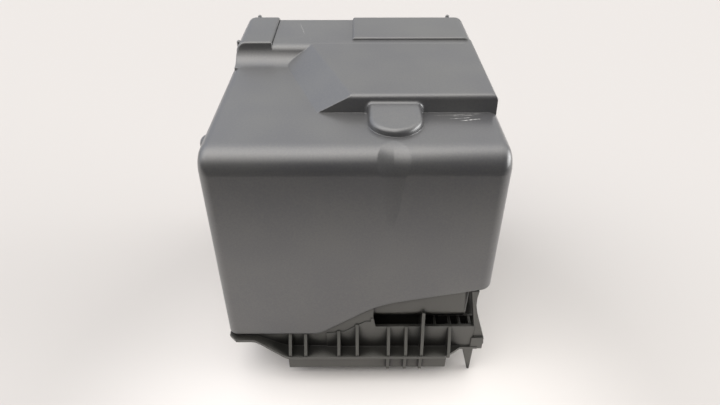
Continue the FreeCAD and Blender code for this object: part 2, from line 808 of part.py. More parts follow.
def shelf_ribs():
    """Make the ribs that carry the shelf on the right side."""
    low, high = "Sizes.flange_bottom", f"{SHELF_TOP} - {BREAK}"
    points = [
        (f"{BASIN_RIGHT} - {BREAK}", low),
        (f"Sizes.flange_side - {BREAK}", low),
        (f"Sizes.flange_side - {BREAK}", f"{FLANGE_TOP} + Sizes.rib_root"),
        (f"{RIM_HALF_X} - {BREAK}", high),
        (f"{BASIN_RIGHT} - {BREAK}", high),
    ]
    ribs = []
    for number in range(SHELF_RIB_COUNT):
        front = f"({FRONT} + Sizes.shelf_rib_setback + {number} * Sizes.shelf_rib_pitch)"
        rear = f"-({front} + Sizes.rib_thickness)"
        ribs.append(prism(f"shelf_rib_{number + 1}", "XZ_Plane", rear, f"-{front}", points))
    return ribs


def front_panel():
    """Make the panel in front of the gutter; its left end rises along the swoop to a small hook."""
    low, top = "Sizes.flange_bottom", "Sizes.panel_top"
    left, right = "Sizes.panel_left", "Sizes.panel_right"
    tip = "Sizes.hook_tip_width"
    points = [
        (left, low),
        (right, low),
        (right, top),
        (f"{HOOK_RIGHT} + {tip}", top),
        (HOOK_RIGHT, f"{top} + Sizes.hook_tip_rise"),
        (f"{HOOK_RIGHT} - {tip}", f"{top} + Sizes.hook_tip_rise"),
        (f"{HOOK_RIGHT} - {tip}", f"{top} + Sizes.hook_rise"),
        ("Sizes.hook_left", f"{top} + Sizes.hook_rise"),
        ("Sizes.panel_bend", "Sizes.edge_low + Sizes.seam_gap"),
        (left, "Sizes.edge_low - Sizes.seam_gap"),
    ]
    back, face = f"-({FACE} + Sizes.panel_thickness)", f"-({FACE} - Sizes.panel_proud)"
    return prism("front_panel", "XZ_Plane", back, face, points)


def rib(name, x, top, reach):
    """Make one upright rib, from the panel's top edge down to the flange's outer edge."""
    front = f"({FRONT} - Sizes.flange_front + Sizes.rib_setback)"
    points = [
        (front, "Sizes.flange_bottom"),
        (reach, "Sizes.flange_bottom"),
        (reach, top),
        (f"{FACE} - Sizes.panel_proud - Sizes.rib_proud", top),
        (front, f"{FLANGE_TOP} + Sizes.rib_root"),
    ]
    half = "Sizes.rib_thickness / 2"
    return prism(name, "YZ_Plane", f"{x} - {half}", f"{x} + {half}", points)


def front_ribs():
    """Make the row of ribs in front of the panel and the rungs that bridge the gutter."""
    panel_back = f"{FACE} + Sizes.panel_thickness"
    gutter_back = f"{GUTTER_FACE} + {BREAK}"
    top = "Sizes.panel_top"
    seam = "Sizes.edge_low - Sizes.seam_gap"
    ribs = []
    for number, x in enumerate(LEFT_RIBS, 1):
        ribs.append(rib(f"rib_left_{number}", x, seam, panel_back))
    for number, (x, rise) in enumerate(PANEL_RIBS, 1):
        ribs.append(rib(f"rib_panel_{number}", x, f"{top} + ({rise})", panel_back))
    ribs.append(rib("rib_tall", TALL_RIB, f"{top} + Sizes.tall_rib_rise", gutter_back))
    ribs.append(rib("rib_right", END_RIB, top, gutter_back))
    half = "Sizes.rung_thickness / 2"
    rung_range = (f"{top} - Sizes.rung_height", f"{top} - Sizes.rib_proud")
    for number, x in enumerate(RUNGS, 1):
        x_range = (f"{x} - {half}", f"{x} + {half}")
        ribs.append(block(f"rung_{number}", x_range, (panel_back, gutter_back), rung_range))
    rail_x = ("Sizes.rail_left", "Sizes.lug_left + Sizes.panel_thickness")
    rail_y = (f"{GUTTER_FACE} - {half}", f"{GUTTER_FACE} + {half}")
    ribs.append(block("rail", rail_x, rail_y, (f"{top} - Sizes.rail_height", top)))
    return ribs


def bracket():
    """Make the flared post at the front right corner, with the lug at its foot."""
    low = "Sizes.flange_bottom"
    foot_left, foot_right = "Sizes.bracket_foot_left", "Sizes.bracket_foot_right"
    bevel = "Sizes.rib_thickness"
    waist, neck = "Sizes.bracket_waist_right", "Sizes.bracket_neck_right"
    neck_high = "Sizes.bracket_neck_height"
    points = [
        (foot_left, low),
        (f"{foot_right} - {bevel}", low),
        (foot_right, f"{low} + 2 * {bevel}"),
        (f"{foot_right} - {bevel} / 2", f"{FLANGE_TOP} + Sizes.lug_rise"),
        (waist, "Sizes.panel_top"),
        (f"{neck} + {bevel}", f"({neck_high} + Sizes.panel_top) / 2 + {bevel}"),
        (neck, neck_high),
        ("Sizes.bracket_top_right", BRACKET_TOP),
        ("Sizes.bracket_top_left", BRACKET_TOP),
        (f"{foot_left} - {bevel}", f"Sizes.panel_top + 4 * {bevel}"),
        (f"{foot_left} - {bevel} / 3", "Sizes.panel_top"),
    ]
    back = f"-({FACE} + Sizes.bracket_thickness)"
    post = prism("bracket_post", "XZ_Plane", back, f"-({FACE})", points)
    lug_front = f"({FACE} - Sizes.lug_front)"
    lug = block(
        "bracket_lug",
        ("Sizes.lug_left", "Sizes.lug_left + Sizes.lug_width"),
        (lug_front, f"{lug_front} + Sizes.lug_depth"),
        (low, f"{FLANGE_TOP} + Sizes.lug_rise"),
    )
    return [post, lug]


def peg():
    """Make the tapered locating peg below the flange, upright on its right side."""
    right = "Sizes.peg_right"
    points = [
        (f"{right} - Sizes.peg_width", f"Sizes.flange_bottom + {BREAK}"),
        (f"{right} - Sizes.peg_tip_width", "Sizes.peg_low"),
        (right, "Sizes.peg_low"),
        (right, f"Sizes.flange_bottom + {BREAK}"),
    ]
    front = f"-({FRONT} - Sizes.peg_depth / 2)"
    body = prism("peg", "XZ_Plane", f"-({FRONT} + Sizes.peg_depth / 2)", front, points)
    return rounded("peg_edges", body, "Sizes.peg_edge_radius", upright)


def skirt():
    """Make the skirt below the flange and the three ribs on its face."""
    front = f"({FRONT} - Sizes.skirt_reach)"
    thickness = "Sizes.panel_thickness"
    low, high = "Sizes.skirt_bottom", "Sizes.flange_bottom"
    left, right = "Sizes.skirt_left", "Sizes.skirt_right"
    pieces = [block("skirt_front", (left, right), (front, f"{front} + {thickness}"), (low, high))]
    depth = (front, f"{GUTTER_FACE} + Sizes.wall")
    for name, x in (("left", left), ("right", f"{right} - {thickness}")):
        pieces.append(block(f"skirt_{name}", (x, f"{x} + {thickness}"), depth, (low, high)))
    half = "Sizes.rib_thickness / 2"
    rib_y = (f"{front} - Sizes.skirt_rib_proud", f"{front} + {BREAK}")
    for number, x in enumerate(SKIRT_RIBS, 1):
        x_range = (f"{x} - {half}", f"{x} + {half}")
        pieces.append(block(f"skirt_rib_{number}", x_range, rib_y, (f"{low} + {BREAK}", high)))
    return pieces


def foot():
    """Make the foot below the floor: a frame with a grid of ribs, and the four bolt bosses."""
    foot_front, foot_rear = f"({FRONT} + Sizes.foot_setback)", f"({REAR} - Sizes.foot_setback)"
    outer = prism(
        "foot_frame",
        "XY_Plane",
        "0",
        f"Sizes.flange_bottom + {BREAK}",
        rectangle(("Sizes.foot_left", "Sizes.foot_right"), (foot_front, foot_rear)),
    )
    rounded("foot_corners", outer, "Sizes.foot_corner_radius", upright)
    cells_x, cells_y = CELL_COUNT_ACROSS, CELL_COUNT_ALONG
    rib_width = "Sizes.foot_rib"
    pitch_x = f"((Sizes.foot_right - Sizes.foot_left - {rib_width}) / {cells_x})"
    pitch_y = f"(({foot_rear} - {foot_front} - {rib_width}) / {cells_y})"
    left = f"(Sizes.foot_left + {rib_width})"
    front = f"({foot_front} + {rib_width})"
    first_cell = rectangle(
        (left, f"{left} + {pitch_x} - {rib_width}"), (front, f"{front} + {pitch_y} - {rib_width}")
    )
    sketch = outline(outer, "foot_cell_outline", "XY_Plane", "0", first_cell)
    cell = outer.newObject("PartDesign::Pocket", "foot_cell")
    cell.Profile = sketch
    cell.Reversed = True
    cell.setExpression("Length", "Sizes.flange_bottom")
    row = outer.newObject("PartDesign::MultiTransform", "foot_cells")
    row.Originals = [cell]
    across = outer.newObject("PartDesign::LinearPattern", "foot_cells_across")
    across.Direction = (sketch, ["H_Axis"])
    across.setExpression("Length", f"{pitch_x} * {cells_x - 1}")
    across.Occurrences = cells_x
    along = outer.newObject("PartDesign::LinearPattern", "foot_cells_along")
    along.Direction = (sketch, ["V_Axis"])
    along.setExpression("Length", f"{pitch_y} * {cells_y - 1}")
    along.Occurrences = cells_y
    row.Transformations = [across, along]
    outer.Tip = row
    bosses = []
    for number, (x, y) in enumerate(BOLT_PLACES, 1):
        bosses.append(rod(f"mount_boss_{number}", x, y, ("0", FLANGE_TOP), "Sizes.mount_boss_radius"))
    bosses.append(
        rod("clamp_boss", "Sizes.battery_x", CLAMP_Y, ("0", CLAMP_SEAT), "Sizes.clamp_boss_radius")
    )
    return [outer, *bosses]


def foot_holes():
    """Make the tools for the bolt holes, their recesses, the clamp bolt hole and the nut pocket."""
    tools = []
    for number, (x, y) in enumerate(BOLT_PLACES, 1):
        bore = "(Sizes.sleeve_radius + Sizes.sleeve_gap)"
        through = (f"-{BREAK}", f"Sizes.mount_seat_height + {BREAK}")
        tools.append(rod(f"mount_hole_{number}", x, y, through, bore))
        recess = ("Sizes.mount_seat_height", f"{FLANGE_TOP} + {BREAK}")
        tools.append(rod(f"mount_recess_{number}", x, y, recess, "Sizes.mount_recess_radius"))
    x = "Sizes.battery_x"
    through = (f"-{BREAK}", f"{CLAMP_SEAT} + {BREAK}")
    tools.append(rod("clamp_hole", x, CLAMP_Y, through, CLAMP_BORE))
    pocket = DOC.addObject("Part::Prism", "nut_pocket")
    pocket.Polygon = 6
    pocket.setExpression("Circumradius", "Sizes.nut_radius + Sizes.bolt_gap")
    pocket.setExpression("Height", f"Sizes.nut_seat + {BREAK}")
    place(pocket, x, CLAMP_Y, f"-{BREAK}")
    tools.append(pocket)
    drain = (f"Sizes.drain_inset - {RIM_HALF_X}", f"{RIM_HALF_Y} - Sizes.drain_inset")
    tools.append(rod("drain_hole", *drain, ("0", f"{FLANGE_TOP} + {BREAK}"), "Sizes.drain_radius"))
    return tools


def battery_guides():
    """Make the ribs inside the basin that stand up round the battery, and the fixed front lip."""
    reach = "(Sizes.battery_length / 2 + Sizes.battery_gap)"
    left, right = f"(Sizes.battery_x - {reach})", f"(Sizes.battery_x + {reach})"
    front = f"({BATTERY_FRONT} - Sizes.battery_gap)"
    rear = f"({BATTERY_REAR} + Sizes.battery_gap)"
    inset = "Sizes.guide_inset"
    half = "Sizes.rib_thickness / 2"
    low, high = f"{FLANGE_TOP} - {BREAK}", f"{FLANGE_TOP} + Sizes.guide_height"
    guides = []
    for number, y in enumerate((f"{front} + {inset}", f"{rear} - {inset}"), 1):
        y_range = (f"{y} - {half}", f"{y} + {half}")
        left_range = (f"-{RIM_HALF_X} + {BREAK}", left)
        right_range = (right, f"{BASIN_RIGHT} - {BREAK}")
        guides.append(block(f"guide_left_{number}", left_range, y_range, (low, high)))
        guides.append(block(f"guide_right_{number}", right_range, y_range, (low, high)))
    for number, x in enumerate((f"{left} + 2 * {inset}", f"{left} + 3 * {inset}"), 1):
        x_range = (f"{x} - {half}", f"{x} + {half}")
        guides.append(block(f"guide_front_{number}", x_range, (f"{FACE} + {BREAK}", front), (low, high)))
    lip_right = "(Sizes.lip_left + Sizes.lip_width)"
    back = f"{GUTTER_FACE} + {BREAK}"
    lip_depth = (back, f"{front} + Sizes.clamp_nose / 2")
    lip_high = (LEDGE_TOP, f"{LEDGE_TOP} + Sizes.clamp_height")
    guides.append(block("fixed_lip", ("Sizes.lip_left", lip_right), lip_depth, lip_high))
    lip_middle = f"(Sizes.lip_left + {lip_right}) / 2"
    lip_ribs = (f"Sizes.lip_left + {half}", lip_middle, f"{lip_right} - {half}")
    for number, x in enumerate(lip_ribs, 1):
        x_range = (f"{x} - {half}", f"{x} + {half}")
        rib_high = (low, f"{LEDGE_TOP} + {BREAK}")
        guides.append(block(f"lip_rib_{number}", x_range, (back, front), rib_high))
    return guides


def basin_cavity():
    """Make the space inside the basin, the lap walls and the shelf."""
    wall = "Sizes.wall"
    left, right = f"-{RIM_HALF_X} + {wall}", f"{BASIN_RIGHT} - {wall}"
    front, rear = f"-{RIM_HALF_Y} + {wall}", f"{RIM_HALF_Y} - {wall}"
    high = TOP
    radius = f"Sizes.basin_radius - {wall}"
    lower = rounded_tub("basin_space", (left, right), (front, rear), (FLANGE_TOP, high), radius)
    upper = rounded_tub(
        "rim_space", (left, f"{RIM_HALF_X} - {wall}"), (front, rear), (SHELF_TOP, high), radius
    )
    bulge = front_slope("gutter_cover", wall, f"{HOOK_RIGHT} - {wall}", "0")
    corner = corner_recess("corner_cover", "Sizes.flange_thickness")
    low_space = cut("basin_low", cut("basin_behind_gutter", lower, bulge), corner)
    return fuse("basin_inside", [low_space, upper])


def make_tray():
    """Make the ribbed base moulding."""
    left = f"-{RIM_HALF_X}"
    rim_top = f"({TOP} - {BREAK})"
    sides = (f"-{RIM_HALF_Y}", RIM_HALF_Y)
    radius = "Sizes.basin_radius"
    low = "Sizes.flange_bottom"
    low_wall = rounded_tub("low_wall", (left, BASIN_RIGHT), (FACE, RIM_HALF_Y), (low, rim_top), radius)
    seam = common("below_seam", [low_wall, below_edge("seam_edge", "-Sizes.seam_gap")])
    basin_lap = rounded_tub("basin_lap", (left, BASIN_RIGHT), sides, (low, rim_top), radius)
    shelf_low = f"{SHELF_TOP} - Sizes.wall"
    shelf_lap = rounded_tub("shelf_lap", (left, RIM_HALF_X), sides, (shelf_low, rim_top), radius)
    laps = common(
        "laps", [fuse("lap_walls", [basin_lap, shelf_lap]), below_edge("rim_edge", "Sizes.lap")]
    )
    gutter = front_slope("gutter_space", "0", HOOK_RIGHT, FLANGE_TOP)
    tub = cut("tub", fuse("raw_walls", [seam, laps]), gutter)
    walls = cut("walls", tub, corner_recess("corner_space", "0"))
    hollow = cut("hollow", fuse("walls_and_flange", [walls, flange(), *foot()]), basin_cavity())
    parts = [hollow, front_panel(), *front_ribs(), *bracket(), peg(), *skirt()]
    parts += [*shelf_ribs(), *battery_guides()]
    whole = fuse("whole_tray", parts)
    holes = fuse("tray_holes", [*foot_holes(), cable_notch("tray_notch", "Sizes.seam_gap", NOTCH_SILL)])
    return cut("tray", whole, holes)


def make_mat():
    """Make the rubber mat below the battery, with a hole over each bolt recess."""
    half = "(Sizes.battery_length / 2 - Sizes.battery_gap)"
    sheet = rounded_tub(
        "mat_sheet",
        (f"Sizes.battery_x - {half}", f"Sizes.battery_x + {half}"),
        (f"{BATTERY_FRONT} + Sizes.battery_gap", f"{BATTERY_REAR} - Sizes.battery_gap"),
        (FLANGE_TOP, SEAT),
        "Sizes.mat_corner_radius",
    )
    through = (f"{FLANGE_TOP} - {BREAK}", f"{SEAT} + {BREAK}")
    holes = [
        rod(f"mat_hole_{number}", x, y, through, "Sizes.mount_recess_radius")
        for number, (x, y) in enumerate(BOLT_PLACES, 1)
    ]
    return cut("battery_mat", sheet, fuse("mat_holes", holes))


def make_wedge():
    """Make the wedge that presses on the battery's base ledge."""
    front = f"({BATTERY_REAR} + Sizes.battery_gap)"
    back = f"({front} + Sizes.clamp_depth)"
    nose = f"({front} - Sizes.clamp_nose)"
    bevel = "Sizes.clamp_bevel"
    points = [
        (front, CLAMP_SEAT),
        (back, CLAMP_SEAT),
        (back, f"{CLAMP_TOP} - 2 * {bevel}"),
        (f"{back} - {bevel}", CLAMP_TOP),
        (f"{nose} + {bevel}", CLAMP_TOP),
        (nose, f"{CLAMP_TOP} - {bevel}"),
        (nose, LEDGE_TOP),
        (front, LEDGE_TOP),
    ]
    x, half = "Sizes.battery_x", "Sizes.clamp_width / 2"
    body = prism("wedge_body", "YZ_Plane", f"{x} - {half}", f"{x} + {half}", points)
    through = (f"{CLAMP_SEAT} - {BREAK}", f"{CLAMP_TOP} + {BREAK}")
    return cut("hold_down_wedge", body, rod("wedge_hole", x, CLAMP_Y, through, CLAMP_BORE))


def hexagon(name, z, height):
    """Make an upright hexagonal bar on the clamp's axis, as wide across corners as the nut."""
    bar = DOC.addObject("Part::Prism", name)
    bar.Polygon = 6
    bar.setExpression("Circumradius", "Sizes.nut_radius")
    bar.setExpression("Height", height)
    place(bar, "Sizes.battery_x", CLAMP_Y, z)
    return bar


def make_bolt():
    """Make the flanged hexagon bolt of the clamp."""
    x = "Sizes.battery_x"
    length = (f"{CLAMP_TOP} - Sizes.bolt_length", f"{CLAMP_TOP} + {BREAK}")
    shank = rod("bolt_shank", x, CLAMP_Y, length, "Sizes.bolt_radius")
    collar_high = (CLAMP_TOP, f"{CLAMP_TOP} + Sizes.collar_height")
    collar = rod("bolt_collar", x, CLAMP_Y, collar_high, "Sizes.nut_radius + Sizes.collar_rim")
    head = hexagon("bolt_head", CLAMP_TOP, "Sizes.head_height")
    return fuse("hold_down_bolt", [shank, collar, head])


def make_nut():
    """Make the hexagon nut held in the pocket below the floor."""
    low = "Sizes.nut_seat - Sizes.nut_height"
    nut = hexagon("nut_body", low, "Sizes.nut_height")
    through = (f"{low} - {BREAK}", f"Sizes.nut_seat + {BREAK}")
    bore = rod("nut_bore", "Sizes.battery_x", CLAMP_Y, through, CLAMP_BORE)
    return cut("hold_down_nut", nut, bore)


def make_sleeve(number, x, y):
    """Make one steel sleeve that takes the pull of a mounting bolt."""
    height = "Sizes.mount_seat_height"
    tube = rod(f"sleeve_tube_{number}", x, y, ("0", height), "Sizes.sleeve_radius")
    through = (f"-{BREAK}", f"{height} + {BREAK}")
    bore = rod(f"sleeve_hole_{number}", x, y, through, "Sizes.sleeve_bore")
    return cut(f"mount_sleeve_{number}", tube, bore)


def check(items):
    """Stop if any object failed, or any sub-part has no valid solid."""
    DOC.recompute()
    for item in DOC.Objects:
        bad = [state for state in item.State if state in ("Invalid", "Error")]
        if bad:
            raise RuntimeError(f"{item.Label} failed: {bad}")
    for item in items:
        shape = item.Shape
        if shape.isNull() or not shape.isValid() or shape.Volume <= 0:
            raise RuntimeError(f"{item.Label} has no valid solid")


def main():
    """Build every sub-part, check it and write its STEP file."""
    fill_sheet()
    parts = {
        "cover": make_cover(),
        "tray": make_tray(),
        "battery_mat": make_mat(),
        "hold_down_wedge": make_wedge(),
        "hold_down_bolt": make_bolt(),
        "hold_down_nut": make_nut(),
    }
    for number, (x, y) in enumerate(BOLT_PLACES, 1):
        parts[f"mount_sleeve_{number}"] = make_sleeve(number, x, y)
    check(parts.values())
    os.makedirs("parts", exist_ok=True)
    for name, item in parts.items():
        item.Label = name
        item.Shape.exportStep(f"parts/{name}.step")
        print(name, len(item.Shape.Solids), round(item.Shape.Volume), item.Shape.BoundBox)


main()
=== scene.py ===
import logging
import math
from dataclasses import dataclass
from enum import Enum
from typing import Any, Sequence

import bpy
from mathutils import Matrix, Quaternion, Vector

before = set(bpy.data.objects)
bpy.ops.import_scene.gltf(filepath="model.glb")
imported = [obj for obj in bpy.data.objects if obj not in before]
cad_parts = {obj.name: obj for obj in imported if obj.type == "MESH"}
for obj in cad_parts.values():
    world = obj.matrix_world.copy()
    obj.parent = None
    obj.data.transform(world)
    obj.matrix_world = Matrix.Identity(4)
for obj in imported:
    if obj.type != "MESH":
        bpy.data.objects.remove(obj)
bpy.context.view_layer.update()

LOG = logging.getLogger("battery_tray")
MILLIMETRE = 0.001
BLACK = (0.0, 0.0, 0.0, 1.0)
WHITE = (1.0, 1.0, 1.0, 1.0)
SMOOTH = {"interpolation_type": "SMOOTHSTEP"}

Socket = bpy.types.NodeSocket
Triple = tuple[float, float, float]
Colour = tuple[float, float, float, float]


class Step(Enum):
    """A step of arithmetic on numbers."""

    ADD = "ADD"
    SUBTRACT = "SUBTRACT"
    MULTIPLY = "MULTIPLY"
    MULTIPLY_ADD = "MULTIPLY_ADD"
    MAXIMUM = "MAXIMUM"
    ABSOLUTE = "ABSOLUTE"
    ROOT = "SQRT"
    ANGLE = "ARCTAN2"


class VectorStep(Enum):
    """A step of arithmetic on vectors."""

    ADD = "ADD"
    SUBTRACT = "SUBTRACT"
    SCALE = "SCALE"
    DOT = "DOT_PRODUCT"
    LENGTH = "LENGTH"
    DISTANCE = "DISTANCE"


def srgb(code: str) -> Colour:
    """Turn a hexadecimal sRGB colour into the linear colour that a shader takes.

    Args:
        code: Six hexadecimal digits, red first.

    Returns:
        Linear red, green and blue, and an alpha of one.
    """
    parts = [int(code[start : start + 2], 16) / 255 for start in (0, 2, 4)]
    linear = [part / 12.92 if part <= 0.04045 else ((part + 0.055) / 1.055) ** 2.4 for part in parts]
    return (linear[0], linear[1], linear[2], 1.0)


@dataclass(frozen=True)
class Span:
    """A smooth change from one value to another while something runs from low to high."""

    low: float
    high: float
    at_low: float
    at_high: float

    def inputs(self) -> dict[str, float]:
        """Give the span as the named inputs of a map range."""
        return {
            "From_Min": self.low,
            "From_Max": self.high,
            "To_Min": self.at_low,
            "To_Max": self.at_high,
        }


@dataclass(frozen=True)
class Cloud:
    """Soft noise: the size of its patches in millimetres, its finer layers and their strength."""

    size: float
    detail: float
    rough: float

    def inputs(self) -> dict[str, float]:
        """Give the noise as the named inputs of a noise texture."""
        return {"Scale": 1.0 / self.size, "Detail": self.detail, "Roughness": self.rough}


class Tree:
    """A node tree that is filled one node at a time."""

    def __init__(self, tree: bpy.types.NodeTree) -> None:
        """Keep the tree and clear what it holds.

        Args:
            tree: The material's or the world's node tree.
        """
        self.tree = tree
        tree.nodes.clear()

    def add(self, kind: str, settings: dict[str, Any] | None = None, **inputs: Any) -> bpy.types.Node:
        """Add a node with its settings, values and links.

        Args:
            kind: The node's type without its common prefix, such as TexNoise.
            settings: Attributes of the node itself.
            inputs: What each input gets: a value, a socket, or a node whose first output is meant. The
                input's name has underscores for spaces, and in_0 names an input by its place.

        Returns:
            The new node.
        """
        node = self.tree.nodes.new(f"ShaderNode{kind}")
        for name, setting in (settings or {}).items():
            setattr(node, name, setting.value if isinstance(setting, Enum) else setting)
        for name, given in inputs.items():
            key: int | str = int(name[3:]) if name.startswith("in_") else name.replace("_", " ")
            source = given.outputs[0] if isinstance(given, bpy.types.Node) else given
            if isinstance(source, bpy.types.NodeSocket):
                self.tree.links.new(source, node.inputs[key])
            else:
                node.inputs[key].default_value = source
        return node

    def place(self, stretch: Triple = (1.0, 1.0, 1.0)) -> Socket:
        """Give the place on the object in millimetres, for a pattern.

        Args:
            stretch: How many times denser the pattern is along each axis.

        Returns:
            The vector's socket.
        """
        scale = tuple(each / MILLIMETRE for each in stretch)
        return self.add("Mapping", Vector=self.add("TexCoord").outputs["Object"], Scale=scale).outputs[0]


def start_material(name: str) -> tuple[bpy.types.Material, Tree]:
    """Start a material with an empty node tree.

    Args:
        name: The material's name.

    Returns:
        The material and its tree.
    """
    material = bpy.data.materials.new(name)
    material.use_nodes = True
    return material, Tree(material.node_tree)


@dataclass(frozen=True)
class Scratch:
    """One pale scratch, straight from one place to another, in millimetres."""

    start: Triple
    end: Triple
    width: float
    strength: float


@dataclass(frozen=True)
class ScratchLook:
    """How scratches are drawn: thin, a little wavy, broken up, and thinner towards their ends."""

    colour: str = "D8D7D3"
    dulling: float = 0.25
    gaps: Cloud = Cloud(2.6, 2.0, 0.5)
    gap_span: Span = Span(0.38, 0.6, 0.25, 1.0)
    wave: Cloud = Cloud(8.33, 1.0, 0.5)
    wander: float = 0.9
    core_share: float = 0.3
    taper_from: float = 0.35
    taper_to: float = 0.5

    def line(self, tree: Tree, bent: Socket, scratch: Scratch) -> Socket:
        """Draw one scratch as a whole line.

        Args:
            tree: The tree to add to.
            bent: The place in millimetres, pushed about by the wave.
            scratch: The scratch to draw.

        Returns:
            The line's socket, as strong as the scratch in its middle and zero beside it.
        """
        start, end = Vector(scratch.start), Vector(scratch.end)
        along = end - start
        length = along.length
        direction = tuple(along / length)
        # The wave pushes the place by half of its reach on average.
        middle = tuple((start + end) / 2 + Vector((self.wander, self.wander, self.wander)) / 2)
        offset = tree.add("VectorMath", {"operation": VectorStep.SUBTRACT}, in_0=bent, in_1=middle)
        run = tree.add("VectorMath", {"operation": VectorStep.DOT}, in_0=offset, in_1=direction).outputs[1]
        whole = tree.add("VectorMath", {"operation": VectorStep.LENGTH}, in_0=offset).outputs[1]
        run_squared = tree.add("Math", {"operation": Step.MULTIPLY}, in_0=run, in_1=run)
        whole_squared = tree.add("Math", {"operation": Step.MULTIPLY}, in_0=whole, in_1=whole)
        squared = tree.add("Math", {"operation": Step.SUBTRACT}, in_0=whole_squared, in_1=run_squared)
        positive = tree.add("Math", {"operation": Step.MAXIMUM}, in_0=squared, in_1=0.0)
        aside = tree.add("Math", {"operation": Step.ROOT}, in_0=positive)
        width = Span(scratch.width * self.core_share, scratch.width, scratch.strength, 0.0)
        core = tree.add("MapRange", SMOOTH, Value=aside, **width.inputs())
        taper = Span(length * self.taper_from, length * self.taper_to, 1.0, 0.0)
        reach = tree.add("Math", {"operation": Step.ABSOLUTE}, in_0=run)
        ends = tree.add("MapRange", SMOOTH, Value=reach, **taper.inputs())
        return tree.add("Math", {"operation": Step.MULTIPLY}, in_0=core, in_1=ends).outputs[0]

    def mask(self, tree: Tree, scratches: Sequence[Scratch]) -> Socket:
        """Draw scratches as thin broken lines.

        Args:
            tree: The tree to add to.
            scratches: The scratches to draw.

        Returns:
            The mask's socket.
        """
        place = tree.place()
        gaps = tree.add("TexNoise", Vector=place, **self.gaps.inputs())
        broken = tree.add("MapRange", SMOOTH, Value=gaps, **self.gap_span.inputs())
        wave = tree.add("TexNoise", Vector=place, **self.wave.inputs()).outputs["Color"]
        push = tree.add("VectorMath", {"operation": VectorStep.SCALE}, in_0=wave, Scale=self.wander)
        bent = tree.add("VectorMath", {"operation": VectorStep.ADD}, in_0=place, in_1=push).outputs[0]
        total = self.line(tree, bent, scratches[0])
        for scratch in scratches[1:]:
            line = self.line(tree, bent, scratch)
            total = tree.add("Math", {"operation": Step.MAXIMUM}, in_0=total, in_1=line).outputs[0]
        return tree.add("Math", {"operation": Step.MULTIPLY}, in_0=total, in_1=broken).outputs[0]


